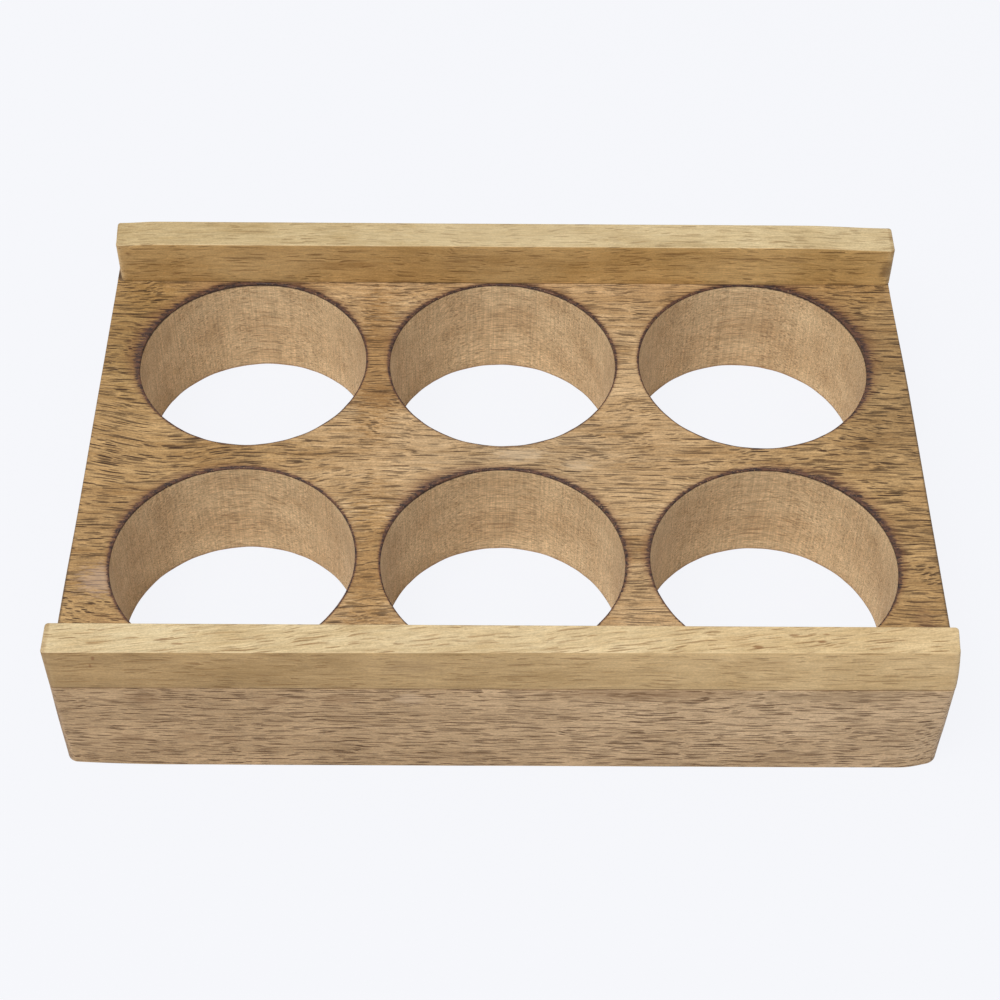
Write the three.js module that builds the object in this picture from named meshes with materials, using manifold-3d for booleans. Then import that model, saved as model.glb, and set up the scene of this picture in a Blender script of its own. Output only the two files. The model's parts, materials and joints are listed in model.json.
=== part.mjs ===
// Countertop egg holder tray: a thick wooden board with six through bores and
// two wooden rails glued along its long edges. Millimetres, +Z up, +X along the
// board's length, -Y towards the front. The origin is at the centre of the
// underside.

import * as THREE from 'three';
import { mergeVertices } from 'three/addons/utils/BufferGeometryUtils.js';
import Module from 'manifold-3d';

const wasm = await Module();
wasm.setup();

// Driving dimensions of the board.
const LENGTH = 203;
const DEPTH = 140;
const BOARD_THICKNESS = 30;
const CORNER_RADIUS = 2;
const EDGE_ROUNDING = 0.5;

// Driving dimensions of the rails. The back strip is a little thicker than the
// front one.
const RAIL_HEIGHT = 12.7;
const FRONT_RAIL_WIDTH = 8.3;
const BACK_RAIL_WIDTH = 9;
const GLUE_LINE = 0.3;

// Driving dimensions of the bores.
const BORE_DIAMETER = 57;
const BORE_COLUMNS = 3;
const BORE_ROWS = 2;
const COLUMN_PITCH = 63.4;
const ROW_PITCH = 64.8;
const RIM_BREAK = 0.5;

// How finely the round shapes are cut into flats.
const BORE_SIDES = 72;
const CORNER_STEPS = 3;
const EDGE_STEPS = 2;

// Places worked out from the driving dimensions.
const FRONT_FACE = -DEPTH / 2;
const BACK_FACE = DEPTH / 2;
const FRONT_RAIL_INNER = FRONT_FACE + FRONT_RAIL_WIDTH;
const BACK_RAIL_INNER = BACK_FACE - BACK_RAIL_WIDTH;
const RAIL_FOOT = BOARD_THICKNESS + GLUE_LINE;
const RAIL_TOP = RAIL_FOOT + RAIL_HEIGHT;
const ROWS_CENTRE = (FRONT_RAIL_INNER + BACK_RAIL_INNER) / 2;

// Sanded hardwood, mango or a similar kind: a browner board and paler rails.
const boardWood = new THREE.MeshStandardMaterial({ color: 0xab8558, roughness: 0.62, metalness: 0 });
const frontRailWood = new THREE.MeshStandardMaterial({ color: 0xc9ac78, roughness: 0.58, metalness: 0 });
const backRailWood = new THREE.MeshStandardMaterial({ color: 0xbd9c66, roughness: 0.58, metalness: 0 });

// Plan outline of a full-length piece between two depths, its corners rounded.
function planOutline(front, back) {
  const end = LENGTH / 2;
  const radius = CORNER_RADIUS;
  const outline = new THREE.Shape();
  outline.moveTo(-end + radius, front);
  outline.lineTo(end - radius, front);
  outline.absarc(end - radius, front + radius, radius, -Math.PI / 2, 0);
  outline.lineTo(end, back - radius);
  outline.absarc(end - radius, back - radius, radius, 0, Math.PI / 2);
  outline.lineTo(-end + radius, back);
  outline.absarc(-end + radius, back - radius, radius, Math.PI / 2, Math.PI);
  outline.lineTo(-end, front + radius);
  outline.absarc(-end + radius, front + radius, radius, Math.PI, Math.PI * 1.5);
  return outline;
}

// A full-length plank with its top and bottom edges eased by sanding.
function easedPlank(front, back, bottom, top) {
  const plank = new THREE.ExtrudeGeometry(planOutline(front, back), {
    depth: top - bottom - 2 * EDGE_ROUNDING,
    curveSegments: CORNER_STEPS,
    bevelThickness: EDGE_ROUNDING,
    bevelSize: EDGE_ROUNDING,
    bevelOffset: -EDGE_ROUNDING,
    bevelSegments: EDGE_STEPS,
  });
  plank.translate(0, 0, bottom + EDGE_ROUNDING);
  return toSolid(plank);
}

// Everything between two heights. It trims the eased edge off a face that is
// glued, where the wood was sanded flush across the joint and stays square.
function slab(bottom, top) {
  const box = new THREE.BoxGeometry(2 * LENGTH, 2 * DEPTH, top - bottom);
  box.translate(0, 0, (bottom + top) / 2);
  return toSolid(box);
}

// The shape that one bore removes: a cylinder that runs past both faces of the
// board and flares at each face by the broken rim.
function boreCutter(x, y) {
  const radius = BORE_DIAMETER / 2;
  const flare = radius + 2 * RIM_BREAK;
  const top = BOARD_THICKNESS;
  const profile = [
    new THREE.Vector2(0, -RIM_BREAK),
    new THREE.Vector2(flare, -RIM_BREAK),
    new THREE.Vector2(radius, RIM_BREAK),
    new THREE.Vector2(radius, top - RIM_BREAK),
    new THREE.Vector2(flare, top + RIM_BREAK),
    new THREE.Vector2(0, top + RIM_BREAK),
  ];
  const cutter = new THREE.LatheGeometry(profile, BORE_SIDES);
  cutter.rotateX(Math.PI / 2);
  cutter.translate(x, y, 0);
  return toSolid(cutter);
}

// A square bar laid corner down along one end of the board, between the rails.
// It takes the sharp arris off that end.
function endArrisCutter(side) {
  const width = EDGE_ROUNDING * Math.SQRT2;
  const bar = new THREE.BoxGeometry(width, BACK_RAIL_INNER - FRONT_RAIL_INNER, width);
  bar.rotateY(Math.PI / 4);
  bar.translate(side * LENGTH / 2, ROWS_CENTRE, BOARD_THICKNESS);
  return toSolid(bar);
}

// Turns a closed three.js geometry into a manifold solid.
function toSolid(geometry) {
  const bare = geometry.clone();
  bare.deleteAttribute('normal');
  bare.deleteAttribute('uv');
  const merged = mergeVertices(bare, 1e-4);
  const mesh = new wasm.Mesh({
    numProp: 3,
    vertProperties: new Float32Array(merged.attributes.position.array),
    triVerts: new Uint32Array(merged.index.array),
  });
  mesh.merge();
  return new wasm.Manifold(mesh);
}

// Turns a manifold solid back into a three.js mesh with a name and a material.
function namedMesh(name, solid, material) {
  const cut = solid.getMesh();
  const geometry = new THREE.BufferGeometry();
  geometry.setAttribute('position', new THREE.BufferAttribute(cut.vertProperties, 3));
  geometry.setIndex(new THREE.BufferAttribute(cut.triVerts, 1));
  geometry.computeVertexNormals();
  const mesh = new THREE.Mesh(geometry, material);
  mesh.name = name;
  return mesh;
}

// The board: an eased plank, square along its glued top, less the grid of bores.
function makeBoard() {
  const plank = easedPlank(FRONT_FACE, BACK_FACE, 0, BOARD_THICKNESS + EDGE_ROUNDING);
  let solid = plank.intersect(slab(0, BOARD_THICKNESS));
  for (const side of [-1, 1]) {
    solid = solid.subtract(endArrisCutter(side));
  }
  for (let row = 0; row < BORE_ROWS; row += 1) {
    for (let column = 0; column < BORE_COLUMNS; column += 1) {
      const x = (column - (BORE_COLUMNS - 1) / 2) * COLUMN_PITCH;
      const y = ROWS_CENTRE + (row - (BORE_ROWS - 1) / 2) * ROW_PITCH;
      solid = solid.subtract(boreCutter(x, y));
    }
  }
  return namedMesh('board', solid, boardWood);
}

// A rail: an eased strip standing on the glue line, square at its foot.
function makeRail(name, front, back, wood) {
  const strip = easedPlank(front, back, RAIL_FOOT - EDGE_ROUNDING, RAIL_TOP);
  return namedMesh(name, strip.intersect(slab(RAIL_FOOT, RAIL_TOP)), wood);
}

const tray = new THREE.Group();
tray.add(makeBoard());
tray.add(makeRail('front_rail', FRONT_FACE, FRONT_RAIL_INNER, frontRailWood));
tray.add(makeRail('back_rail', BACK_RAIL_INNER, BACK_FACE, backRailWood));

export default tray;
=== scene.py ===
import json

import bmesh
import bpy
import numpy as np
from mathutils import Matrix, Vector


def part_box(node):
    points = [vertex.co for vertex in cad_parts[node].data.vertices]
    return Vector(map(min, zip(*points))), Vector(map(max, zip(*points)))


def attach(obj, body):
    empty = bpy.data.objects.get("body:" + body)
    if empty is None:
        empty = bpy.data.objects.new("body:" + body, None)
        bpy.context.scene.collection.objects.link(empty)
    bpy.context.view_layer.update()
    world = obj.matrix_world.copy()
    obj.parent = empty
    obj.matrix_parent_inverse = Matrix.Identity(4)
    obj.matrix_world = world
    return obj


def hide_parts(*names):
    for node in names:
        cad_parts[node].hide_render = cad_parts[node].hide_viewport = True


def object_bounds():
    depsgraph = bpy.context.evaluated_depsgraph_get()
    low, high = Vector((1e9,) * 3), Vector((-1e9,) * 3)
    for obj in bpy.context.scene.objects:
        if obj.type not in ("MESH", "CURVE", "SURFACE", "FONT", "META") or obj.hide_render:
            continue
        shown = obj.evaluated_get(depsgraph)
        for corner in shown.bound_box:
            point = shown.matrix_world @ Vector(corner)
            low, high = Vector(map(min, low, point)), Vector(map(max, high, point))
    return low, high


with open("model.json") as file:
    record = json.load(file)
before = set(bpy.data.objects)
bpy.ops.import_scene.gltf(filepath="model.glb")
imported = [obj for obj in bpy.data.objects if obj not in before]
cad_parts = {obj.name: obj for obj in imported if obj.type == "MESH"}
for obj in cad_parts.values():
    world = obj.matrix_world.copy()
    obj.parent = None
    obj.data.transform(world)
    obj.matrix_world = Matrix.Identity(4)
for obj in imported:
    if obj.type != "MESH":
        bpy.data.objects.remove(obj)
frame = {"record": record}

cad_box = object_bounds()

# The setting. A pale table top under a big soft lamp at the upper left, with a camera that looks
# down over the tray's front rail. None of it belongs to the tray.
scene = bpy.context.scene
scene.view_settings.view_transform = "Standard"
MM = 0.001
TABLE_HALF_WIDTH = 3.0
TABLE_GAP = 0.05 * MM


def tone(red, green, blue):
    """A colour given as 0 to 255 display values, as the linear values that shaders take.

    Formula: the display value to the power 2.4 after its toe, as in the sRGB standard.
    """
    shown = np.array([red, green, blue]) / 255
    linear = np.where(shown <= 0.04045, shown / 12.92, ((shown + 0.055) / 1.055) ** 2.4)
    return (*linear.tolist(), 1.0)


def add_node(tree, kind, inputs=None, **settings):
    """A node with its settings, and with each named input set to a value or joined to a socket."""
    node = tree.nodes.new(kind)
    for name, value in settings.items():
        setattr(node, name, value)
    for name, value in (inputs or {}).items():
        if isinstance(value, bpy.types.NodeSocket):
            tree.links.new(value, node.inputs[name])
        else:
            node.inputs[name].default_value = value
    return node


def new_object(name, mesh):
    """An object of that mesh, at the origin, in the scene."""
    made = bpy.data.objects.new(name, mesh)
    scene.collection.objects.link(made)
    return made


def soft_lamp(name, place, target, width, watts, colour):
    """A square area lamp of that width at a place, turned to face a target."""
    data = bpy.data.lights.new(name, "AREA")
    data.size = width
    data.energy = watts
    data.color = colour[:3]
    lamp = new_object(name, data)
    aim = np.array(target) - np.array(place)
    lamp.location = place
    lamp.rotation_euler = (np.arctan2(np.hypot(aim[0], aim[1]), -aim[2]), 0, np.arctan2(-aim[0], aim[1]))
    return lamp


def make_table():
    """A flat square just under the tray, its height the same everywhere."""
    side = np.linspace(-TABLE_HALF_WIDTH, TABLE_HALF_WIDTH, 3)
    x, y = np.meshgrid(side, side)
    points = np.stack([x, y, np.full_like(x, -TABLE_GAP)], -1).reshape(-1, 3)
    mesh = bpy.data.meshes.new("table_top")
    corners = np.arange(9).reshape(3, 3)
    faces = np.stack([corners[:-1, :-1], corners[:-1, 1:], corners[1:, 1:], corners[1:, :-1]], -1)
    mesh.from_pydata(points.tolist(), [], faces.reshape(-1, 4).tolist())
    return new_object("table_top", mesh)


def table_material():
    """A pale acrylic table lit from below: what the camera sees is mostly its own even glow."""
    material = bpy.data.materials.new("pale_table")
    material.use_nodes = True
    tree = material.node_tree
    tree.nodes.clear()
    matt = add_node(tree, "ShaderNodeBsdfDiffuse", {"Color": (0.74, 0.74, 0.75, 1)})
    glow = add_node(tree, "ShaderNodeEmission", {"Color": (0.926, 0.935, 0.972, 1), "Strength": 1.0})
    seen = add_node(tree, "ShaderNodeMixShader", {"Fac": 0.95, 1: matt.outputs[0], 2: glow.outputs[0]})
    path = add_node(tree, "ShaderNodeLightPath")
    kinds = {"Fac": path.outputs["Is Camera Ray"], 1: matt.outputs[0], 2: seen.outputs[0]}
    both = add_node(tree, "ShaderNodeMixShader", kinds)
    add_node(tree, "ShaderNodeOutputMaterial", {"Surface": both.outputs[0]})
    return material


def pale_surroundings():
    """An even, slightly cool sky: soft light from all round, and a pale backdrop in low views."""
    world = bpy.data.worlds.new("pale_room")
    world.use_nodes = True
    tree = world.node_tree
    tree.nodes.clear()
    path = add_node(tree, "ShaderNodeLightPath")
    levels = {"Value": path.outputs["Is Camera Ray"], "To Min": 0.55, "To Max": 0.948}
    strength = add_node(tree, "ShaderNodeMapRange", levels).outputs["Result"]
    sky = add_node(tree, "ShaderNodeBackground", {"Color": (0.97, 0.98, 1.0, 1), "Strength": strength})
    add_node(tree, "ShaderNodeOutputWorld", {"Surface": sky.outputs[0]})
    return world


camera = new_object("camera", bpy.data.cameras.new("camera"))
camera.data.lens = 76.78
camera.data.clip_start = 0.01
camera.location = (-4.42 * MM, -348.31 * MM, 414.64 * MM)
camera.rotation_euler = (0.71533, -0.00849, -0.00041)
scene.camera = camera

table_top = make_table()
table_top.data.materials.append(table_material())
scene.world = pale_surroundings()
soft_lamp("window_lamp", (-0.55, -0.62, 1.60), (0, 0, 0.02), 1.10, 24.8, (1.0, 0.985, 0.96))


# The board. One thick plank of a brown, open-pored hardwood with its grain along the length, sawn
# square, bored with six through holes for the eggs, and sanded. The bores' rims are scorched.
board_low, board_high = (np.array(corner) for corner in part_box("board"))
front_rail_low, front_rail_high = (np.array(corner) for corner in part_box("front_rail"))
back_rail_low, back_rail_high = (np.array(corner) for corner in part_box("back_rail"))
tray_top = cad_box[1].z
CORNER_RADIUS_LOW = 2.4 * MM
CORNER_RADIUS_TOP = 0.8 * MM
ARRIS = 0.3 * MM
FINE_ARRIS = 0.18 * MM
SQUARE_EDGE = 0.04 * MM
BORE_RADIUS = 28.5 * MM
COLUMN_DRIFT = -0.4 * MM
RIGHT_COLUMN_WIDER = 0.3 * MM
RIM_ROUNDING = 0.34 * MM
OUT_OF_ROUND = 0.06 * MM
MERGE_DISTANCE = 0.002 * MM
LEAST_LENGTH = 1e-12
BORE_COLUMNS = 3
STEPS_ALONG_CELL = 64
EASING_STEPS = 4
FACE_ROWS = 9
WALL_ROWS = 12
UNDER_ROWS = 5
SIDE_ROWS = 20


def bore_centres():
    """The middle of each bore as x and y, from the boxes that the record states as openings."""
    openings = frame["record"]["physics"]["openings"]
    boxes = [np.array(opening["box_m"]) for opening in openings if opening["name"].endswith("_bore")]
    return np.array([box[:, :2].mean(0) for box in boxes])


def ripple(position, wavelength, phase):
    """A gentle wander between -1 and 1: three sines whose wavelengths aren't multiples of each other."""
    turn = 2 * np.pi * position / wavelength
    second = 0.6 * np.sin(2.3 * turn + 1.7 * phase)
    third = 0.4 * np.sin(4.1 * turn + 2.9 * phase)
    return (np.sin(turn + phase) + second + third) / 2


def smooth_step(value, start, end):
    """0 before start, 1 after end, and an S curve 3t^2 - 2t^3 between them."""
    t = np.clip((value - start) / (end - start), 0, 1)
    return t * t * (3 - 2 * t)


def crowded(start, end, steps, crowd_start, crowd_end):
    """Places from start to end, closer together at the ends that are crowded.

    Formula: an even step t, blended with 1 - cos of a quarter turn for a crowded start, with sin of
    a quarter turn for a crowded end, and with the S curve for both.
    """
    t = np.linspace(0, 1, steps + 1)
    quarter = t * np.pi / 2
    if crowd_start and crowd_end:
        bent = 0.5 - 0.5 * np.cos(2 * quarter)
    elif crowd_start:
        bent = 1 - np.cos(quarter)
    elif crowd_end:
        bent = np.sin(quarter)
    else:
        bent = t
    return start + (end - start) * (0.25 * t + 0.75 * bent)


def once_round(xs, ys):
    """The edge of a rectangle of grid lines, anticlockwise from its front left corner and back to it."""
    long, deep = len(xs) - 1, len(ys) - 1
    x = np.concatenate([xs[:-1], np.full(deep, xs[-1]), xs[:0:-1], np.full(deep, xs[0]), xs[:1]])
    y = np.concatenate([np.full(long, ys[0]), ys[:-1], np.full(long, ys[-1]), ys[:0:-1], ys[:1]])
    return x, y


def corner_radius(height):
    """The upright corners' radius at a height: larger at the foot, where they were worn more."""
    return CORNER_RADIUS_LOW + (CORNER_RADIUS_TOP - CORNER_RADIUS_LOW) * height / tray_top


def rounded_plan(x, y, low, high, inset, height):
    """Moves points of a rectangle so that its corners are round and its edge is drawn in by inset.

    Formula: the nearest point of the rectangle shrunk by the corner radius, plus the direction from
    there to the point, times the larger of the two offsets scaled by (radius - inset) / radius.
    """
    radius = corner_radius(height)
    core_x = np.clip(x, low[0] + radius, high[0] - radius)
    core_y = np.clip(y, low[1] + radius, high[1] - radius)
    off_x, off_y = x - core_x, y - core_y
    length = np.maximum(np.hypot(off_x, off_y), LEAST_LENGTH)
    reach = np.maximum(np.abs(off_x), np.abs(off_y)) * (radius - inset) / radius / length
    return core_x + off_x * reach, core_y + off_y * reach


# Wood missing from the plain shapes, in millimetres and shares of the length. Each end of the board
# has its wear at the front corner, the rest of it higher up, the heights between which that comes
# on, and what comes on further back as (amount, from, to).
END_ZONE = 0.06
CORNER_DEPTH = 11
LEFT_END = {
    "at_corner": 0.28,
    "higher_up": 0.24,
    "rises": (4, 30),
    "further_back": ((0.28, -45, -15), (0.15, 0, 60)),
}
RIGHT_END = {"at_corner": 0.75, "higher_up": 0.38, "rises": (10, 30), "further_back": ((0.50, 20, 62),)}
FRONT_LEAN = 1.15
RIGHT_SWEEP = 1.4
LEFT_SWEEP = 0.80
LEFT_SWEEP_START = -75
LEFT_SWEEP_LENGTH = 26
FACE_RIPPLE = 0.03
END_RIPPLE = 0.02
RIGHT_DROP = 0.8
LEFT_DROP = 0.5


def board_end(corner, y, z, at_corner, higher_up, rises, further_back):
    """How far one of the board's ends is set in, in millimetres, from how near the corner is."""
    inset = at_corner * corner + higher_up * corner * smooth_step(z, *rises)
    for amount, start, end in further_back:
        inset = inset + amount * smooth_step(y, start, end)
    return inset


def hand_sanded(points):
    """The small unevenness of a piece that was finished by hand, always taking wood away.

    Formula: the front face leans back towards its right end with the fourth power of the height. The
    board's ends are set in near the front corners and towards the back, and its lower front corners are
    swept back. Each rail is a little short at both ends, the right ends more so at their tops, and the
    back rail's top drops at its ends. A ripple of a few hundredths of a millimetre runs along each face.
    """
    x, y, z = points[..., 0] / MM, points[..., 1] / MM, points[..., 2] / MM
    front, back = board_low[1] / MM, board_high[1] / MM
    inner_front, inner_back = front_rail_high[1] / MM, back_rail_low[1] / MM
    along = (x - board_low[0] / MM) / ((board_high[0] - board_low[0]) / MM)
    height = np.clip(z / (tray_top / MM), 0, 1)
    up_rail = np.clip((z - front_rail_low[2] / MM) / ((tray_top - front_rail_low[2]) / MM), 0, 1)
    on_rail = z > (board_high[2] + front_rail_low[2]) / 2 / MM
    on_front_rail, on_back_rail = on_rail & (y < 0), on_rail & (y > 0)
    near_front, near_back = smooth_step(y, inner_front, front), smooth_step(y, inner_back, back)
    near_left, near_right = smooth_step(along, END_ZONE, 0), smooth_step(along, 1 - END_ZONE, 1)
    corner = smooth_step(y, front + CORNER_DEPTH, front)

    front_rail_left = 0.50 - 0.05 * up_rail
    front_rail_right = 1.05 + 1.1 * up_rail**1.5 - 0.4 * up_rail * (1 - near_front)
    back_rail_left = 1.45 - 0.4 * near_back
    back_rail_right = 0.35 + 0.2 * up_rail
    left_in = np.where(on_front_rail, front_rail_left, board_end(corner, y, z, **LEFT_END))
    left_in = np.where(on_back_rail, back_rail_left, left_in) + END_RIPPLE * (1 + ripple(y, 80, 1.0))
    right_in = np.where(on_front_rail, front_rail_right, board_end(corner, y, z, **RIGHT_END))
    right_in = np.where(on_back_rail, back_rail_right, right_in) + END_RIPPLE * (1 + ripple(y, 70, 3.0))
    right_sweep = near_right**2 * smooth_step(z, 34, 4)
    past_start = np.clip((LEFT_SWEEP_START - x) / LEFT_SWEEP_LENGTH, 0, 1)
    left_sweep = past_start**2 * smooth_step(z, 22, 2)
    front_back = FRONT_LEAN * along * height**4 + RIGHT_SWEEP * right_sweep + LEFT_SWEEP * left_sweep
    front_back = front_back + FACE_RIPPLE * (1 + ripple(x, 90, 0.4))
    back_front = FACE_RIPPLE * (1 + ripple(x, 110, 2.0))
    drop = RIGHT_DROP * smooth_step(x, 78, 101) + LEFT_DROP * smooth_step(x, -90, -101)

    moved = points.copy()
    moved[..., 0] += (left_in * near_left - right_in * near_right) * MM
    moved[..., 1] += (front_back * near_front - back_front * near_back) * MM
    moved[..., 2] -= np.where(on_back_rail, drop * up_rail, 0) * MM
    return moved


def eased_rows(inset, height, towards):
    """A quarter circle over an edge: how far in and how far down or up each of its rows lies.

    Formula: inset times (1 - sin a) in, and inset times (1 - cos a) away from the face, for the
    angle a from 0 on the face to a quarter turn on the side.
    """
    angle = np.linspace(0, np.pi / 2, EASING_STEPS + 1)[:, None]
    return inset * (1 - np.sin(angle)), height + towards * inset * (1 - np.cos(angle))


def board_arris(y):
    """How far the board's top edge is eased: square where a rail is glued on, round between the rails."""
    between = (y > front_rail_high[1]) & (y < back_rail_low[1])
    return np.where(between, FINE_ARRIS, SQUARE_EDGE)


def foot_arris(y):
    """How far the board's bottom edge is eased, the same all round."""
    return np.full_like(y, FINE_ARRIS)


# Where each rim is burnt widest, numbered from the front left bore, along the front row and then
# along the back row: the direction in degrees, the extra width in millimetres, and the spread.
SCORCHES = (
    ((140, 0.45, 35), (210, 0.15, 20)),
    ((128, 0.90, 24), (40, 0.40, 30), (0, 0.25, 20)),
    ((50, 0.80, 35), (0, 0.45, 25), (175, 0.50, 22)),
    ((165, 1.20, 32), (100, 0.95, 26), (50, 0.40, 22)),
    ((150, 0.40, 30), (70, 0.45, 30), (10, 0.20, 20)),
    ((25, 1.15, 30), (75, 0.70, 26), (-18, 0.55, 20)),
)
SCORCH_LEAST = 0.12
SCORCH_BACK_EXTRA = 0.20


def scorch_width(turn, number):
    """How wide a rim is burnt in each direction, in millimetres.

    Formula: a least width, a little more towards the back, and for each wide place its own width
    times exp(-(difference in direction / spread)^2).
    """
    width = SCORCH_LEAST + SCORCH_BACK_EXTRA * smooth_step(np.sin(turn), -0.5, 0.7)
    for direction, extra, spread in SCORCHES[number]:
        away = np.degrees(np.angle(np.exp(1j * (turn - np.radians(direction)))))
        width = width + extra * np.exp(-((away / spread) ** 2))
    return width


def drilled(column):
    """How far to the side of its even place a column of bores lies, and how much wider it is.

    The middle and right columns lie a little to the left, and the right one is wider. Column is -1,
    0 or 1 from left to right.
    """
    return COLUMN_DRIFT * min(column + 1, 1), RIGHT_COLUMN_WIDER * max(column, 0)


def board_cell(xs, ys, mark, number):
    """One bore and the wood around it, as rows that start at the cell's edge on the top face.

    Formula: each column of points belongs to one point of the cell's edge. The rows go straight from
    there to the bore's rim, over a quarter circle, straight down the wall, over a second quarter
    circle, and back out to the same point of the edge underneath.
    """
    drift, wider = drilled(number % BORE_COLUMNS - 1)
    centre = mark + np.array([drift, 0])
    x, y = once_round(xs, ys)
    top_edge = np.stack(rounded_plan(x, y, board_low, board_high, board_arris(y), board_high[2]), -1)
    low_edge = np.stack(rounded_plan(x, y, board_low, board_high, foot_arris(y), board_low[2]), -1)
    out = top_edge - centre
    out /= np.linalg.norm(out, axis=1)[:, None]
    turn = np.arctan2(out[:, 1], out[:, 0])
    uneven = OUT_OF_ROUND * (np.sin(2 * turn + number) + np.sin(3 * turn + 2 * number))
    radius = BORE_RADIUS + wider + uneven
    chip = np.abs(np.sin(7 * turn + 3 * number) * np.sin(11 * turn + number))
    rim = RIM_ROUNDING * (0.7 + 0.6 * chip)

    def ring(drawn_in):
        return centre + out * (radius + drawn_in)[:, None]

    rows, heights = [], []
    for share in (1 - crowded(0, 1, FACE_ROWS, False, True))[:-1]:
        rows.append(ring(rim) * (1 - share) + top_edge * share)
        heights.append(np.full_like(turn, board_high[2]))
    for drawn_in, height in zip(*eased_rows(rim, board_high[2], -1)):
        rows.append(ring(drawn_in))
        heights.append(height)
    for share in np.linspace(0, 1, WALL_ROWS)[1:-1]:
        rows.append(ring(0))
        heights.append((board_high[2] - rim) * (1 - share) + (board_low[2] + rim) * share)
    for drawn_in, height in reversed(list(zip(*eased_rows(rim, board_low[2], 1)))):
        rows.append(ring(drawn_in))
        heights.append(height)
    for share in crowded(0, 1, UNDER_ROWS, True, False)[1:]:
        rows.append(ring(rim) * (1 - share) + low_edge * share)
        heights.append(np.full_like(turn, board_low[2]))
    points = np.concatenate([np.array(rows), np.array(heights)[..., None]], -1)
    finish = np.ones(len(rows) - 1, int)
    finish[: FACE_ROWS + EASING_STEPS] = 0
    finish[-UNDER_ROWS:] = 2
    return {"points": points, "finish": finish, "scorch": scorch_width(turn, number)}


def outline_skirt(xs, ys, low, high, top_arris, low_arris, side_rows, top_finish, side_finish):
    """The faces round the outside of a block, with its top and bottom edges eased.

    Formula: the outline drawn in by a quarter circle at the top, straight down, and drawn in again by
    a quarter circle at the bottom. The arris value is 1 in the middle of each quarter circle and on
    the rounded corners, and 0 on the flat faces.
    """
    x, y = once_round(xs, ys)
    insets, heights = eased_rows(top_arris(y), high[2], -1)
    low_insets, low_heights = eased_rows(low_arris(y), low[2], 1)
    shares = np.linspace(0, 1, side_rows + 1)[1:-1, None]
    insets = np.concatenate([insets, np.zeros((side_rows - 1, len(x))), low_insets[::-1]])
    sides = heights[-1] * (1 - shares) + low_heights[-1] * shares
    heights = np.concatenate([heights, sides, low_heights[::-1]])
    plan = [np.stack(rounded_plan(x, y, low, high, *row), -1) for row in zip(insets, heights)]
    points = np.concatenate([np.array(plan), heights[..., None]], -1)
    from_corner = np.minimum(x - low[0], high[0] - x) + np.minimum(y - low[1], high[1] - y)
    # The arris value marks the eased edges and rounded corners that are painted paler: partly wear, partly
    # a painted highlight.
    worn_and_highlit = np.zeros(heights.shape)
    worn_and_highlit[1:EASING_STEPS] = 1
    worn_and_highlit[-EASING_STEPS:-1] = 1
    worn_and_highlit = np.maximum(worn_and_highlit, smooth_step(from_corner, CORNER_RADIUS_LOW, 0))
    finish = np.full(len(insets) - 1, side_finish)
    finish[: EASING_STEPS // 2] = top_finish
    return {"points": points, "arris": worn_and_highlit, "finish": finish}


def build_piece(name, sheets, materials):
    """One closed mesh from sheets of points, each of so many rows by so many columns.

    Every four neighbouring points of a sheet make a face. Sheets share their edge points, so merging
    points that coincide closes every seam.
    """
    points, faces, finish, worn_and_highlit, scorch = [], [], [], [], []
    count = 0
    for sheet in sheets:
        rows, columns = sheet["points"].shape[:2]
        index = count + np.arange(rows * columns).reshape(rows, columns)
        corners = [index[:-1, :-1], index[1:, :-1], index[1:, 1:], index[:-1, 1:]]
        faces.append(np.stack(corners, -1).reshape(-1, 4))
        finish.append(np.repeat(sheet["finish"], columns - 1))
        points.append(sheet["points"].reshape(-1, 3))
        worn_and_highlit.append(np.broadcast_to(sheet.get("arris", 0.0), (rows, columns)).reshape(-1))
        scorch.append(np.broadcast_to(sheet.get("scorch", 0.0), (rows, columns)).reshape(-1))
        count += rows * columns
    mesh = bpy.data.meshes.new(name)
    mesh.from_pydata(hand_sanded(np.concatenate(points)).tolist(), [], np.concatenate(faces).tolist())
    for label, values in (("arris", worn_and_highlit), ("scorch", scorch)):
        layer = mesh.attributes.new(label, "FLOAT", "POINT")
        layer.data.foreach_set("value", np.concatenate(values).astype(np.float32))
    mesh.polygons.foreach_set("material_index", np.concatenate(finish).astype(np.int32))
    shell = bmesh.new()
    shell.from_mesh(mesh)
    bmesh.ops.remove_doubles(shell, verts=shell.verts, dist=MERGE_DISTANCE)
    bmesh.ops.dissolve_degenerate(shell, edges=shell.edges, dist=MERGE_DISTANCE / 2)
    bmesh.ops.recalc_face_normals(shell, faces=shell.faces)
    shell.to_mesh(mesh)
    shell.free()
    mesh.shade_smooth()
    for material in materials:
        mesh.materials.append(material)
    return new_object(name, mesh)


def cell_lines(edges):
    """The grid lines of each cell between two edges, closer together at the board's own edges."""
    last = len(edges) - 2
    ends = zip(edges[:-1], edges[1:])
    return [crowded(*pair, STEPS_ALONG_CELL, i == 0, i == last) for i, pair in enumerate(ends)]


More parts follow.
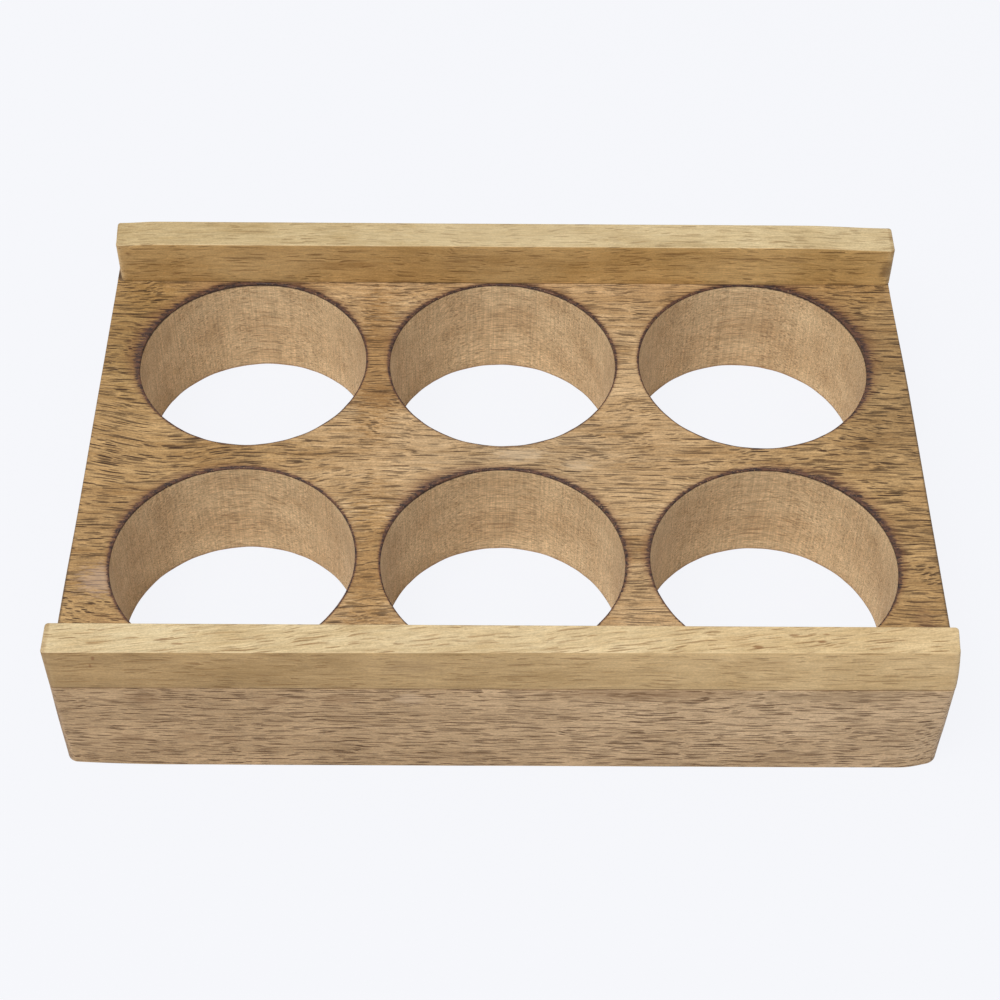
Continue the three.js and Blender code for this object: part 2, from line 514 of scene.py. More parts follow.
def make_board(materials):
    """The plank as six cells, one round each bore, and a skirt round the outside."""
    centres = bore_centres()
    columns = np.unique(centres[:, 0].round(6))
    rows = np.unique(centres[:, 1].round(6))
    x_edges = [board_low[0], *((columns[:-1] + columns[1:]) / 2), board_high[0]]
    y_edges = [board_low[1], *((rows[:-1] + rows[1:]) / 2), board_high[1]]
    x_lines, y_lines = cell_lines(x_edges), cell_lines(y_edges)
    sheets = []
    for i, column in enumerate(columns):
        for j, row in enumerate(rows):
            mark, number = np.array([column, row]), i + BORE_COLUMNS * j
            sheets.append(board_cell(x_lines[i], y_lines[j], mark, number))
    xs, ys = np.unique(np.concatenate(x_lines)), np.unique(np.concatenate(y_lines))
    sheets.append(outline_skirt(xs, ys, board_low, board_high, board_arris, foot_arris, SIDE_ROWS, 0, 2))
    return build_piece("plank", sheets, materials)


VALUE = "NodeSocketFloat"
VECTOR = "NodeSocketVector"
COLOUR = "NodeSocketColor"


def new_group(name, inputs, outputs):
    """An empty shader node group with named sockets, and the sockets to build between."""
    group = bpy.data.node_groups.new(name, "ShaderNodeTree")
    for label, kind, value in inputs:
        socket = group.interface.new_socket(label, in_out="INPUT", socket_type=kind)
        if value is not None:
            socket.default_value = value
    for label, kind in outputs:
        group.interface.new_socket(label, in_out="OUTPUT", socket_type=kind)
    given = group.nodes.new("NodeGroupInput").outputs
    results = group.nodes.new("NodeGroupOutput").inputs
    return group, given, results


def calc(tree, operation, first, second=0.0, third=0.0, clamp=False):
    """The result of one Math node."""
    values = {0: first, 1: second, 2: third}
    return add_node(tree, "ShaderNodeMath", values, operation=operation, use_clamp=clamp).outputs[0]


def ramp(tree, value, start, end, low=0.0, high=1.0):
    """A value's smooth change from low to high as it goes from start to end."""
    inputs = {"Value": value, "From Min": start, "From Max": end, "To Min": low, "To Max": high}
    node = add_node(tree, "ShaderNodeMapRange", inputs, interpolation_type="SMOOTHSTEP")
    return node.outputs["Result"]


def blend(tree, amount, first, second, how="MIX"):
    """Two colours mixed, multiplied or otherwise blended by an amount."""
    colours = {0: amount, 6: first, 7: second}
    return add_node(tree, "ShaderNodeMix", colours, data_type="RGBA", blend_type=how).outputs[2]


def vector_math(tree, operation, first, second):
    """The result of one Vector Math node."""
    return add_node(tree, "ShaderNodeVectorMath", {0: first, 1: second}, operation=operation).outputs[0]


def length_of(tree, vector):
    """A vector's length."""
    return add_node(tree, "ShaderNodeVectorMath", {0: vector}, operation="LENGTH").outputs["Value"]


def dimmed(tree, colour, scale):
    """A colour made darker or brighter by a scale."""
    inputs = {0: colour, "Scale": scale}
    return add_node(tree, "ShaderNodeVectorMath", inputs, operation="SCALE").outputs[0]


def axes(tree, vector):
    """A vector's x, y and z as separate values."""
    return add_node(tree, "ShaderNodeSeparateXYZ", {0: vector}).outputs


def own_value(tree, name):
    """One of the values that the mesh carries at each of its points."""
    return add_node(tree, "ShaderNodeAttribute", attribute_name=name).outputs["Fac"]


def stretched(tree, vector, scales):
    """A vector multiplied part by part, so that a pattern is drawn out along the grain."""
    return vector_math(tree, "MULTIPLY", vector, scales)


def noise(tree, vector, scales, detail=2.0, roughness=0.5):
    """A noise value from 0 to 1, drawn out by the scales along each axis."""
    place = stretched(tree, vector, scales)
    inputs = {"Vector": place, "Scale": 1.0, "Detail": detail, "Roughness": roughness}
    return add_node(tree, "ShaderNodeTexNoise", inputs).outputs["Fac"]


def make_grain_group():
    """Sawn wood along X, in millimetres: soft bands and streaks, fibres, and short dark pores.

    The vector is first bent by a slow noise and a quicker one, so the grain wanders and the pores are
    wavy. Each pattern is a noise or a cell pattern drawn out along X with its own length and width.
    """
    group, given, results = new_group(
        "sawn_wood",
        [
            ("Vector", VECTOR, None),
            *((label, COLOUR, None) for label in ("Pale", "Deep", "Pore Color")),
            ("Wander", VALUE, 5.0),
            *((label, VALUE, 0.5) for label in ("Bands", "Streaks", "Blotches")),
            *((label, VALUE, 0.5) for label in ("Pores", "Pore Share", "Specks")),
        ],
        [("Color", COLOUR), ("Height", VALUE)],
    )
    slow = noise(group, given["Vector"], (0.018, 0.035, 0.035), 1)
    quick = noise(group, given["Vector"], (0.11, 0.22, 0.22), 1)
    shift = calc(group, "MULTIPLY", calc(group, "SUBTRACT", slow, 0.5), given["Wander"])
    shift = calc(group, "MULTIPLY_ADD", calc(group, "SUBTRACT", quick, 0.5), 1.5, shift)
    aside = add_node(group, "ShaderNodeCombineXYZ", {1: shift, 2: shift}).outputs[0]
    bent = vector_math(group, "ADD", given["Vector"], aside)

    bands = noise(group, bent, (0.010, 0.14, 0.14), 3)
    streaks = noise(group, bent, (0.05, 0.8, 0.8), 4, 0.65)
    fibre = noise(group, bent, (0.22, 3.2, 3.2), 2, 0.6)
    blotches = noise(group, given["Vector"], (0.06, 0.11, 0.11), 2)
    depth = 0.5
    for pattern, weight in ((bands, "Bands"), (streaks, "Streaks"), (blotches, "Blotches")):
        swing = calc(group, "MULTIPLY", calc(group, "SUBTRACT", pattern, 0.5), 3.0)
        depth = calc(group, "MULTIPLY_ADD", swing, given[weight], depth)
    colour = blend(group, calc(group, "MAXIMUM", depth, 0.0, clamp=True), given["Deep"], given["Pale"])

    pores = 0.0
    for length, spacing, share, outer, inner, seed in (
        (14.0, 0.60, 1.0, 0.36, 0.25, 0.0),
        (26.0, 0.86, 0.9, 0.28, 0.18, 37.0),
        (7.0, 0.48, 1.0, 0.38, 0.27, 71.0),
    ):
        place = vector_math(group, "ADD", bent, (seed, seed, seed))
        place = stretched(group, place, (1 / length, 1 / spacing, 1 / spacing))
        cells = add_node(group, "ShaderNodeTexVoronoi", {"Vector": place, "Scale": 1.0, "Randomness": 1.0})
        chance = add_node(group, "ShaderNodeSeparateColor", {0: cells.outputs["Color"]}).outputs
        limit = calc(group, "MULTIPLY", given["Pore Share"], share)
        there = calc(group, "LESS_THAN", chance[0], limit)
        slit = ramp(group, cells.outputs["Distance"], outer, inner)
        darkness = calc(group, "MULTIPLY_ADD", chance[1], 0.55, 0.45)
        one = calc(group, "MULTIPLY", calc(group, "MULTIPLY", there, slit), darkness)
        pores = calc(group, "MAXIMUM", pores, one)
    amount = calc(group, "MULTIPLY", pores, given["Pores"], clamp=True)
    colour = blend(group, amount, colour, given["Pore Color"])

    grit = noise(group, bent, (1.7, 3.1, 3.1), 2, 0.7)
    swing = calc(group, "SUBTRACT", grit, 0.5)
    swing = calc(group, "MULTIPLY_ADD", calc(group, "SUBTRACT", fibre, 0.5), 1.2, swing)
    light = calc(group, "MULTIPLY_ADD", calc(group, "MULTIPLY", swing, 2.0), given["Specks"], 1.0)
    group.links.new(dimmed(group, colour, light), results["Color"])
    relief = calc(group, "MULTIPLY_ADD", fibre, 0.35, calc(group, "MULTIPLY", pores, -1.0))
    group.links.new(relief, results["Height"])
    return group


def hypotenuse(tree, first, second):
    """The square root of the sum of two values' squares."""
    square = calc(tree, "MULTIPLY", second, second)
    return calc(tree, "SQRT", calc(tree, "MULTIPLY_ADD", first, first, square))


def make_scorch_group(centres):
    """Where a bore's rim is burnt, from the distance to the nearest rim, in millimetres.

    Formula: x less the nearest column, drift and all, and y less the nearest row of bores give the
    distance from that bore's axis, and with the depth below the face that from its rim. The burn
    is full at the rim and gone past the given width, ragged along the grain, with chips out of it.
    """
    group, given, results = new_group(
        "scorched_rim",
        [
            ("Vector", VECTOR, None),
            ("Width", VALUE, 0.5),
            ("Ragged", VALUE, 1.0),
            ("Chips", VALUE, 0.6),
        ],
        [("Char", VALUE), ("Toast", VALUE), ("Foot", VALUE)],
    )
    columns = np.unique(centres[:, 0].round(6)) / MM
    rows = np.unique(centres[:, 1].round(6)) / MM
    x, y, z = axes(group, given["Vector"])
    column_pitch = columns[1] - columns[0]
    nearest = calc(group, "ROUND", calc(group, "DIVIDE", x, column_pitch))
    nearest = calc(group, "MINIMUM", calc(group, "MAXIMUM", nearest, -1.0), 1.0)
    not_left = calc(group, "MINIMUM", calc(group, "ADD", nearest, 1.0), 1.0)
    drift = calc(group, "MULTIPLY", not_left, COLUMN_DRIFT / MM)
    off_x = calc(group, "SUBTRACT", calc(group, "MULTIPLY_ADD", nearest, -column_pitch, x), drift)
    wider = calc(group, "MULTIPLY", calc(group, "MAXIMUM", nearest, 0.0), RIGHT_COLUMN_WIDER / MM)
    behind = calc(group, "GREATER_THAN", y, (rows[0] + rows[1]) / 2)
    row_y = calc(group, "MULTIPLY_ADD", behind, rows[1] - rows[0], rows[0])
    off_y = calc(group, "SUBTRACT", y, row_y)
    from_axis = hypotenuse(group, off_x, off_y)
    radius = calc(group, "ADD", wider, BORE_RADIUS / MM)
    beyond = calc(group, "MAXIMUM", calc(group, "SUBTRACT", from_axis, radius), 0.0)
    below = calc(group, "MAXIMUM", calc(group, "SUBTRACT", board_high[2] / MM, z), 0.0)
    above = calc(group, "MAXIMUM", z, 0.0)
    to_top, to_foot = hypotenuse(group, beyond, below), hypotenuse(group, beyond, above)

    streak = noise(group, given["Vector"], (0.17, 2.9, 2.9), 3, 0.65)
    ragged = calc(group, "MULTIPLY", calc(group, "SUBTRACT", streak, 0.5), given["Ragged"])
    past_easing = calc(group, "MAXIMUM", calc(group, "SUBTRACT", to_top, 0.26), 0.0)
    reach = calc(group, "DIVIDE", past_easing, calc(group, "MAXIMUM", given["Width"], 0.05))
    reach = calc(group, "MULTIPLY_ADD", ragged, 5.6, reach)
    chips = ramp(group, noise(group, given["Vector"], (2.4, 3.0, 3.0), 1), 0.60, 0.72)
    whole = calc(group, "SUBTRACT", 1.0, calc(group, "MULTIPLY", chips, given["Chips"]))
    char = calc(group, "MULTIPLY", ramp(group, reach, 1.5, 0.7), whole)
    toast = ramp(group, reach, 4.2, 0.8)
    foot = ramp(group, calc(group, "MULTIPLY_ADD", ragged, 0.8, to_foot), 0.9, 0.2)
    group.links.new(char, results["Char"])
    group.links.new(toast, results["Toast"])
    group.links.new(foot, results["Foot"])
    return group


def make_arris_group():
    """Edges painted paler: partly worn by handling, partly a painted highlight where the eased arris
    catches the light. The arris value is broken up by a small noise.
    """
    group, given, results = new_group(
        "arris_wear_and_highlight",
        [
            ("Color", COLOUR, None),
            ("Wear And Highlight Color", COLOUR, tone(226, 206, 166)),
            ("Arris", VALUE, 0.0),
            ("Vector", VECTOR, None),
            ("Amount", VALUE, 0.6),
        ],
        [("Color", COLOUR)],
    )
    patches = noise(group, given["Vector"], (0.12, 0.4, 0.4), 2)
    wear_and_highlight = calc(group, "MULTIPLY", given["Arris"], ramp(group, patches, 0.35, 0.65, 0.25, 1.0))
    amount = calc(group, "MULTIPLY", wear_and_highlight, given["Amount"], clamp=True)
    group.links.new(blend(group, amount, given["Color"], given["Wear And Highlight Color"]), results["Color"])
    return group


def make_end_grain_group():
    """A piece's cut ends: darker, with growth rings round a pith and faint upright saw marks.

    Formula: a ring is a noise of the distance from the pith line, which runs along X, bent by a slow
    noise. It shows where x is past the start of the cut, on either end.
    """
    group, given, results = new_group(
        "end_grain",
        [
            ("Vector", VECTOR, None),
            ("Color", COLOUR, None),
            ("End Color", COLOUR, tone(112, 82, 52)),
            ("Pith", VECTOR, None),
            ("Ring Width", VALUE, 3.0),
            ("Start", VALUE, 99.9),
        ],
        [("Color", COLOUR)],
    )
    away = vector_math(group, "SUBTRACT", given["Vector"], given["Pith"])
    radius = length_of(group, stretched(group, away, (0, 1, 1)))
    bend = noise(group, given["Vector"], (0.05, 0.10, 0.10), 2)
    count = calc(group, "DIVIDE", calc(group, "MULTIPLY_ADD", bend, 9.0, radius), given["Ring Width"])
    outward = add_node(group, "ShaderNodeCombineXYZ", {0: count}).outputs[0]
    rings = noise(group, outward, (1, 1, 1), 3, 0.7)
    saw = noise(group, given["Vector"], (0.0, 2.4, 0.10), 2)
    depth = calc(group, "MULTIPLY_ADD", calc(group, "SUBTRACT", rings, 0.5), 2.2, 0.42)
    depth = calc(group, "MULTIPLY_ADD", calc(group, "SUBTRACT", saw, 0.5), 0.5, depth, clamp=True)
    cut = calc(group, "SUBTRACT", calc(group, "ABSOLUTE", axes(group, given["Vector"])[0]), given["Start"])
    amount = calc(group, "MULTIPLY", ramp(group, cut, 0.0, 0.7), depth)
    group.links.new(blend(group, amount, given["Color"], given["End Color"]), results["Color"])
    return group


def make_stain_group():
    """A stain or fleck round a centre, in millimetres: 1 inside, 0 outside, with a broken edge.

    Formula: the length of (vector - centre) / reach, pushed in and out by a small noise.
    """
    group, given, results = new_group(
        "stain",
        [
            ("Vector", VECTOR, None),
            ("Centre", VECTOR, None),
            ("Reach", VECTOR, (1, 1, 1)),
            ("Broken", VALUE, 0.8),
        ],
        [("Mask", VALUE)],
    )
    away = vector_math(group, "SUBTRACT", given["Vector"], given["Centre"])
    length = length_of(group, vector_math(group, "DIVIDE", away, given["Reach"]))
    rough = noise(group, given["Vector"], (0.35, 1.6, 1.6), 3, 0.6)
    most = calc(group, "MULTIPLY", given["Broken"], 3.0)
    broken = calc(group, "MULTIPLY", calc(group, "SUBTRACT", rough, 0.5), most)
    group.links.new(ramp(group, calc(group, "ADD", length, broken), 1.25, 0.35), results["Mask"])
    return group


sawn_wood = make_grain_group()
scorched_rim = make_scorch_group(bore_centres())
arris_wear_and_highlight = make_arris_group()
end_grain = make_end_grain_group()
stain = make_stain_group()


def place_group(tree, group, inputs):
    """A node group placed in a tree with its own values."""
    return add_node(tree, "ShaderNodeGroup", inputs, node_tree=group).outputs


def stained(tree, place, colour, stains, how="MIX"):
    """A colour with stains on it, each given by centre, reach, strength and stain colour."""
    for centre, reach, strength, stain_colour in stains:
        spot = place_group(tree, stain, {"Vector": place, "Centre": centre, "Reach": reach})
        colour = blend(tree, calc(tree, "MULTIPLY", spot["Mask"], strength), colour, stain_colour, how)
    return colour


def on_level_face(height, deep, marks):
    """Marks given by x and y, put on a face at a height and reaching that deep, in millimetres."""
    return [((x, y, height / MM), (long, wide, deep), *look) for (x, y), (long, wide), *look in marks]


def on_upright_face(depth, deep, marks):
    """Marks given by x and z, put on a face at a depth and reaching that deep, in millimetres."""
    return [((x, depth / MM, z), (long, deep, tall), *look) for (x, z), (long, tall), *look in marks]


def from_left_to_right(tree, place, left, right):
    """A colour that drifts from one at the left end to another at the right end."""
    return blend(tree, ramp(tree, axes(tree, place)[0], -95.0, 95.0), left, right)


def outer_face(tree, place, colour, wear_and_highlight, amount, end):
    """A face colour with its edges painted paler, partly as wear and partly as a painted highlight, and
    its ends cut across the grain.
    """
    arris = own_value(tree, "arris")
    edge_inputs = {"Color": colour, "Wear And Highlight Color": wear_and_highlight, "Arris": arris, "Vector": place, "Amount": amount}
    worn_and_highlit = place_group(tree, arris_wear_and_highlight, edge_inputs)["Color"]
    return place_group(tree, end_grain, {"Vector": place, "Color": worn_and_highlit, **end})["Color"]


def start_material(name):
    """A bare material with its Principled shader, and the object's place in millimetres."""
    material = bpy.data.materials.new(name)
    material.use_nodes = True
    tree = material.node_tree
    where = add_node(tree, "ShaderNodeTexCoord").outputs["Object"]
    place = add_node(tree, "ShaderNodeMapping", {"Vector": where, "Scale": (1 / MM, 1 / MM, 1 / MM)})
    return material, tree, tree.nodes["Principled BSDF"], place.outputs[0]


def finish_surface(tree, shader, colour, height, relief, roughness):
    """Joins a colour, a bump of that relief in millimetres, and a roughness to the shader."""
    bump = add_node(tree, "ShaderNodeBump", {"Height": height, "Distance": relief * MM, "Strength": 0.8})
    tree.links.new(colour, shader.inputs["Base Color"])
    tree.links.new(bump.outputs[0], shader.inputs["Normal"])
    tree.links.new(roughness, shader.inputs["Roughness"])
    shader.inputs["Specular IOR Level"].default_value = 0.35


def finish_wood(tree, shader, colour, height, relief, in_pores, between):
    """Joins a wood colour to the shader, its pores sunk by the relief and duller than the rest."""
    roughness = ramp(tree, height, -0.6, 0.3, in_pores, between)
    finish_surface(tree, shader, colour, height, relief, roughness)


# Marks on the top face: the centre and the reach in millimetres, the strength, and the colour. The
# tints are multiplied into the wood, so that its pores stay, and the patches are laid over it.
TOP_MARK_DEPTH = 3
SIDE_MARK_DEPTH = 6
RAIL_TOP_MARK_DEPTH = 1
TOP_PATCHES = (
    ((-93, -39), (6, 5), 0.45, tone(196, 168, 146)),
    ((4, 0.5), (7, 2.2), 0.50, tone(206, 182, 150)),
    ((96, -52), (3, 7), 0.40, tone(120, 84, 56)),
    ((-90, -55), (6, 6), 0.30, tone(150, 104, 62)),
    ((18, -3), (4, 1.6), 0.40, tone(206, 182, 150)),
)
TOP_TINTS = (
    ((-32, 32), (7, 30), 1.0, tone(218, 204, 180)),
    ((-31, -34), (9, 26), 1.0, tone(222, 210, 187)),
    ((32, -36), (6, 18), 1.0, tone(245, 243, 240)),
    ((-94, 42), (14, 30), 1.0, tone(226, 222, 206)),
    ((-92, -28), (12, 20), 1.0, tone(246, 245, 245)),
    ((-66, 1), (26, 6), 1.0, tone(240, 236, 226)),
    ((4, 0), (30, 12), 1.0, tone(243, 246, 252)),
    ((94, 26), (12, 36), 1.0, tone(230, 229, 227)),
)


def board_top_material():
    """The planed top: tan brown with many dark open pores, burnt purple black along the rims."""
    material, tree, shader, place = start_material("board_top_wood")
    x, y, _ = axes(tree, place)
    across = calc(tree, "ABSOLUTE", x)
    towards_end = ramp(tree, across, 25.0, 92.0)
    near_middle = ramp(tree, calc(tree, "ABSOLUTE", calc(tree, "SUBTRACT", y, 6.0)), 26.0, 6.0)
    sloping = calc(tree, "MULTIPLY", ramp(tree, x, -62.0, -92.0, 0.0, 0.24), near_middle)
    slope = calc(tree, "MULTIPLY", sloping, calc(tree, "ADD", x, 96.0))
    aside = add_node(tree, "ShaderNodeCombineXYZ", {1: slope}).outputs[0]
    grain = {
        "Vector": vector_math(tree, "ADD", place, aside),
        "Pale": blend(tree, towards_end, tone(204, 172, 130), tone(192, 157, 108)),
        "Deep": blend(tree, towards_end, tone(158, 123, 80), tone(142, 107, 63)),
        "Pore Color": tone(60, 36, 18),
        "Wander": 9.0,
        "Bands": 0.30,
        "Streaks": 0.60,
        "Blotches": 0.30,
        "Pores": ramp(tree, towards_end, 0.0, 1.0, 0.82, 1.0),
        "Pore Share": ramp(tree, towards_end, 0.0, 1.0, 0.66, 0.82),
        "Specks": 0.58,
    }
    wood = place_group(tree, sawn_wood, grain)
    width = own_value(tree, "scorch")
    burn = place_group(tree, scorched_rim, {"Vector": place, "Width": width, "Ragged": 1.0, "Chips": 0.9})
    tints = on_level_face(board_high[2], TOP_MARK_DEPTH, TOP_TINTS)
    patches = on_level_face(board_high[2], TOP_MARK_DEPTH, TOP_PATCHES)
    patched = stained(tree, place, stained(tree, place, wood["Color"], tints, "MULTIPLY"), patches)
    toasted = blend(tree, calc(tree, "MULTIPLY", burn["Toast"], 0.45), patched, tone(108, 66, 42))
    soot = ramp(tree, noise(tree, place, (0.5, 1.1, 1.1), 3), 0.35, 0.65)
    charred = blend(tree, burn["Char"], toasted, blend(tree, soot, tone(50, 37, 36), tone(100, 68, 52)))
    end_line = calc(tree, "MULTIPLY", ramp(tree, across, 100.8, 101.3), 0.65)
    colour = blend(tree, end_line, charred, tone(84, 66, 48))
    finish_wood(tree, shader, colour, wood["Height"], 0.12, 0.72, 0.52)
    return material


def bore_wall_material():
    """The bored walls: paler, fuzzy, brushed up and down, with a thin burnt line at the rims."""
    material, tree, shader, place = start_material("bore_wall_wood")
    grain = {
        "Vector": place,
        "Pale": tone(224, 197, 156),
        "Deep": tone(187, 155, 115),
        "Pore Color": tone(124, 88, 56),
        "Wander": 5.0,
        "Bands": 0.20,
        "Streaks": 0.35,
        "Blotches": 0.42,
        "Pores": 0.45,
        "Pore Share": 0.45,
        "Specks": 0.52,
    }
    wood = place_group(tree, sawn_wood, grain)
    upright = noise(tree, place, (2.6, 2.6, 0.09), 3, 0.65)
    brushed = dimmed(tree, wood["Color"], ramp(tree, upright, 0.30, 0.70, 0.86, 1.13))
    narrow = calc(tree, "MULTIPLY", own_value(tree, "scorch"), 0.45)
    burn = place_group(tree, scorched_rim, {"Vector": place, "Width": narrow, "Ragged": 0.3, "Chips": 0.2})
    colour = blend(tree, burn["Char"], brushed, tone(60, 44, 38))
    colour = blend(tree, calc(tree, "MULTIPLY", burn["Foot"], 0.55), colour, tone(138, 88, 50))
    finish_wood(tree, shader, colour, wood["Height"], 0.06, 0.8, 0.6)
    return material


# Smudges on the front face, given as the marks on the top are.
SMUDGE = tone(140, 108, 74)
FACE_SMUDGES = (
    ((-80.5, 26), (4.0, 2.4), 0.50, SMUDGE),
    ((-52, 25.5), (4.5, 2.0), 0.50, SMUDGE),
    ((-37, 26), (5.0, 2.0), 0.55, SMUDGE),
    ((-86, 11), (3.4, 2.2), 0.45, SMUDGE),
    ((-71, 11.5), (4.0, 2.2), 0.45, SMUDGE),
    ((-63, 10.5), (3.0, 1.6), 0.40, SMUDGE),
    ((-21.5, 26.5), (3.6, 2.2), 0.50, tone(206, 178, 146)),
    ((30, 28.5), (26, 2.6), 0.45, SMUDGE),
    ((72, 28.0), (24, 2.2), 0.45, tone(150, 124, 92)),
)


def board_side_material():
    """The sanded outer faces: greyer and finer, with colours brightening from left to right as painted
    light, and with the edges and corners painted pale, partly as wear and partly as a painted highlight.
    """
    material, tree, shader, place = start_material("board_side_wood")
    grain = {
        # The colours brighten from left to right: painted light, as if the front faces were lit from the
        # right.
        "Vector": place,
        "Pale": from_left_to_right(tree, place, tone(190, 159, 121), tone(202, 173, 137)),
        "Deep": from_left_to_right(tree, place, tone(156, 127, 92), tone(171, 142, 107)),
        "Pore Color": tone(88, 60, 36),
        "Wander": 4.0,
        "Bands": 0.25,
        "Streaks": 0.55,
        "Blotches": 0.45,
        "Pores": 0.95,
        "Pore Share": 0.80,
        "Specks": 0.42,
    }
    wood = place_group(tree, sawn_wood, grain)
    smudges = on_upright_face(board_low[1], SIDE_MARK_DEPTH, FACE_SMUDGES)
    marked = stained(tree, place, wood["Color"], smudges)
    end = {"Pith": (0, 24, -46), "Ring Width": 4.2, "Start": 99.9}
    colour = outer_face(tree, place, marked, tone(186, 160, 136), 0.4, end)
    finish_wood(tree, shader, colour, wood["Height"], 0.08, 0.75, 0.55)
    return material


plank = make_board([board_top_material(), bore_wall_material(), board_side_material()])
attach(plank, "root")
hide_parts("board")


# The front rail. A straight strip of a paler, smoother wood, sawn square and glued on top of the
# board along its front edge, flush with the board's face and ends. Its arrises are painted pale,
# partly as wear and partly as a painted highlight.
def rail_arris(y):
    """How far a rail's top edges are eased, the same all round."""
    return np.full_like(y, ARRIS)


def glued_edge(y):
    """How far a glued edge is eased: hardly at all, so that it meets the board flush."""
    return np.full_like(y, SQUARE_EDGE)


RAIL_STEPS = (240, 24, 12)


def make_strip(name, low, high, steps, top_arris, side_finish, materials):
    """A strip as a skirt round the outside and two flat sheets that close its top and its foot.

    Formula: the flat sheets are the strip's own grid lines, with the corners rounded and the edge
    drawn in as far as the skirt's first and last rows. Steps are along it, across it and up it.
    """
    along, across, up = steps
    xs = crowded(low[0], high[0], along, True, True)
    ys = crowded(low[1], high[1], across, True, True)
    sheets = [outline_skirt(xs, ys, low, high, top_arris, glued_edge, up, 0, side_finish)]
    x, y = np.meshgrid(xs, ys)
    for inset, height, finish in ((top_arris(y), high[2], 0), (glued_edge(y), low[2], side_finish)):
        plan = np.stack(rounded_plan(x, y, low, high, inset, height), -1)
        points = np.concatenate([plan, np.full(x.shape + (1,), height)], -1)
        sheets.append({"points": points, "finish": np.full(len(ys) - 1, finish)})
    return build_piece(name, sheets, materials)


def make_rail(name, low, high, materials):
    """A rail as a strip with eased top edges, its first material on top and its second on the sides."""
    return make_strip(name, low, high, RAIL_STEPS, rail_arris, 1, materials)


def rail_material(name, offset, turn, left, right, pore, blotches, clarity, pith, marks):
    """Pale smooth rail wood, its colours drifting from left to right, with its arrises painted a little
    paler: partly wear, partly a painted highlight.

    left and right are each a pale and a deep colour. The grain is moved by an offset, so that no two
    pieces are alike, and turned by a small angle. Clarity is how plainly the pores and fibres show.
    """
    material, tree, shader, place = start_material(name)
    moved = {"Vector": place, "Location": offset, "Rotation": (0, 0, turn)}
    grain = {
        "Vector": add_node(tree, "ShaderNodeMapping", moved).outputs[0],
        "Pale": from_left_to_right(tree, place, left[0], right[0]),
        "Deep": from_left_to_right(tree, place, left[1], right[1]),
        "Pore Color": pore,
        "Wander": 6.0,
        "Bands": 0.25,
        "Streaks": 0.50,
        "Blotches": blotches,
        "Pores": 0.75 * clarity,
        "Pore Share": 0.26 + 0.10 * clarity,
        "Specks": 0.36 * clarity,
    }
    wood = place_group(tree, sawn_wood, grain)
    marked = stained(tree, place, wood["Color"], marks)
    end = {"End Color": tone(138, 106, 66), "Pith": pith, "Ring Width": 3.0, "Start": 99.6}
    colour = outer_face(tree, place, marked, tone(214, 192, 152), 0.3, end)
    finish_wood(tree, shader, colour, wood["Height"], 0.06, 0.68, 0.5)
    return material


# Flecks on the front rail's top and marks on its side, given as the marks on the board are.
FRONT_OFFSET = (40, 210, 95)
FRONT_PITH = (0, -40, -20)
FLECK = tone(128, 84, 44)
TOP_FLECKS = (
    ((55, -67.4), (1.3, 0.55), 0.75, FLECK),
    ((63.5, -64.2), (1.2, 0.35), 0.65, FLECK),
    ((70.3, -64), (1.1, 0.35), 0.70, FLECK),
    ((69.2, -66), (1.3, 0.45), 0.75, FLECK),
    ((-75.4, -66.2), (1.5, 0.28), 0.60, FLECK),
    ((-71.5, -67.4), (1.5, 0.25), 0.60, FLECK),
    ((48, -66), (6, 2.0), 0.22, tone(176, 138, 84)),
    ((2, -66), (36, 6), 0.10, tone(230, 214, 178)),
)
SIDE_MARKS = (
    ((-89.8, 40.9), (0.5, 0.7), 0.75, FLECK),
    ((-90.7, 38.3), (0.35, 0.6), 0.65, FLECK),
    ((-58, 37), (14, 3.4), 0.30, tone(144, 112, 62)),
    ((-20, 38), (8, 2.6), 0.28, tone(150, 122, 88)),
    ((56, 39), (9, 2.2), 0.35, tone(166, 134, 90)),
)
# The top and the side are one piece of wood. The top's colours are paler and greyer than the side's: a
# painted sheen on the top and painted shade on the side.
front_top = rail_material(
    "front_rail_top",
    offset=FRONT_OFFSET,
    turn=-0.12,
    left=(tone(216, 197, 157), tone(186, 160, 116)),
    right=(tone(218, 193, 149), tone(186, 157, 110)),
    pore=tone(132, 92, 48),
    blotches=0.4,
    clarity=1.0,
    pith=FRONT_PITH,
    marks=on_level_face(tray_top, RAIL_TOP_MARK_DEPTH, TOP_FLECKS),
)
# The side's colours brighten strongly from left to right: painted light, as if the front face were lit
# from the right.
front_side = rail_material(
    "front_rail_side",
    offset=FRONT_OFFSET,
    turn=0.0,
    left=(tone(178, 146, 99), tone(148, 118, 74)),
    right=(tone(208, 179, 132), tone(182, 151, 103)),
    pore=tone(120, 86, 48),
    blotches=0.6,
    clarity=0.85,
    pith=FRONT_PITH,
    marks=on_upright_face(front_rail_low[1], SIDE_MARK_DEPTH, SIDE_MARKS),
)
front_strip = make_rail("front_strip", front_rail_low, front_rail_high, [front_top, front_side])
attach(front_strip, "root")
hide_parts("front_rail")

# The back rail. The same kind of strip from a slightly browner piece, a little thicker, glued along
# the back edge.
BACK_OFFSET = (-70, -120, 30)
BACK_PITH = (0, 20, 90)
BACK_TOP_MARKS = (((0, 65.5), (44, 6), 0.18, tone(226, 208, 170)),)
BACK_MARKS = (
    ((99.5, 35.5), (1.6, 3.0), 0.60, tone(92, 64, 40)),
    ((-97.2, 39.7), (0.9, 0.6), 0.60, tone(110, 76, 44)),
    ((-40, 36), (9, 1.6), 0.30, tone(142, 104, 60)),
    ((70, 36), (7, 1.8), 0.35, tone(216, 180, 120)),
)
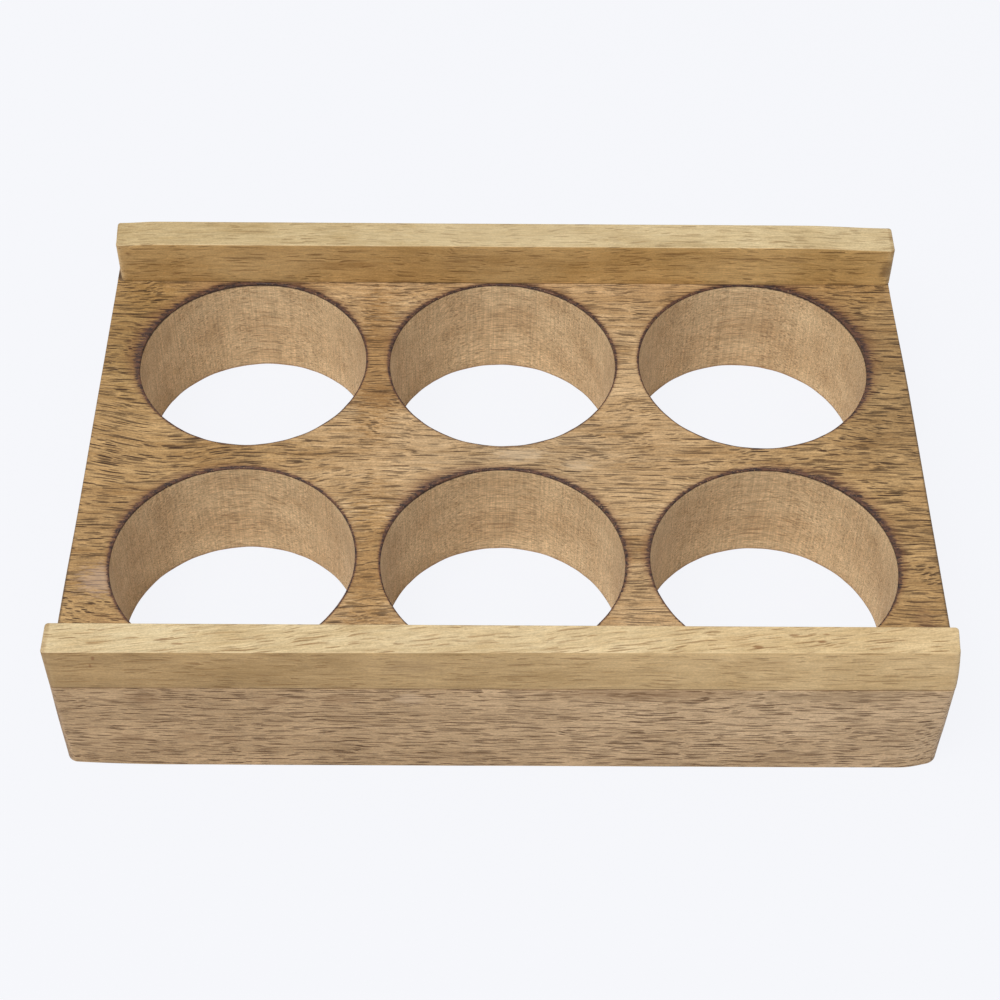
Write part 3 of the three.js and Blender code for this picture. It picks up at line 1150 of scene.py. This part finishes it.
# As on the front rail, the top's colours are paler and greyer than the side's: a painted sheen on the top
# and painted shade on the side.
back_top = rail_material(
    "back_rail_top",
    offset=BACK_OFFSET,
    turn=0.0,
    left=(tone(199, 177, 134), tone(170, 144, 98)),
    right=(tone(214, 193, 150), tone(187, 162, 117)),
    pore=tone(126, 92, 50),
    blotches=0.5,
    clarity=0.85,
    pith=BACK_PITH,
    marks=on_level_face(tray_top, RAIL_TOP_MARK_DEPTH, BACK_TOP_MARKS),
)
back_side = rail_material(
    "back_rail_side",
    offset=BACK_OFFSET,
    turn=0.0,
    left=(tone(198, 163, 110), tone(168, 132, 81)),
    right=(tone(209, 172, 114), tone(176, 139, 83)),
    pore=tone(106, 74, 38),
    blotches=0.5,
    clarity=0.95,
    pith=BACK_PITH,
    marks=on_upright_face(back_rail_low[1], SIDE_MARK_DEPTH, BACK_MARKS),
)
back_strip = make_rail("back_strip", back_rail_low, back_rail_high, [back_top, back_side])
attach(back_strip, "root")
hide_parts("back_rail")


# The glue lines. Wood glue pressed into a film under each rail, almost flush with the faces. It is
# wood brown in places and nearly black in others, as if dust had caught in it.
def glue_material():
    """Dried glue, from wood brown to nearly black along its length."""
    material, tree, shader, place = start_material("dried_glue")
    length = noise(tree, place, (0.03, 0.2, 0.2), 3)
    colour = blend(tree, ramp(tree, length, 0.42, 0.62), tone(156, 124, 84), tone(92, 70, 46))
    grit = noise(tree, place, (2, 2, 2), 2)
    finish_surface(tree, shader, colour, grit, 0.03, ramp(tree, grit, 0.3, 0.7, 0.45, 0.7))
    return material


GLUE_SETBACK = 0.05 * MM
FILM_STEPS = (120, 12, 2)
glue = glue_material()
for name, rail_low, rail_high in (
    ("front_glue_line", front_rail_low, front_rail_high),
    ("back_glue_line", back_rail_low, back_rail_high),
):
    film_low = np.array([rail_low[0] + GLUE_SETBACK, rail_low[1] + GLUE_SETBACK, board_high[2]])
    film_high = np.array([rail_high[0] - GLUE_SETBACK, rail_high[1] - GLUE_SETBACK, rail_low[2]])
    glue_line = make_strip(name, film_low, film_high, FILM_STEPS, glued_edge, 0, [glue])
    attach(glue_line, "root")
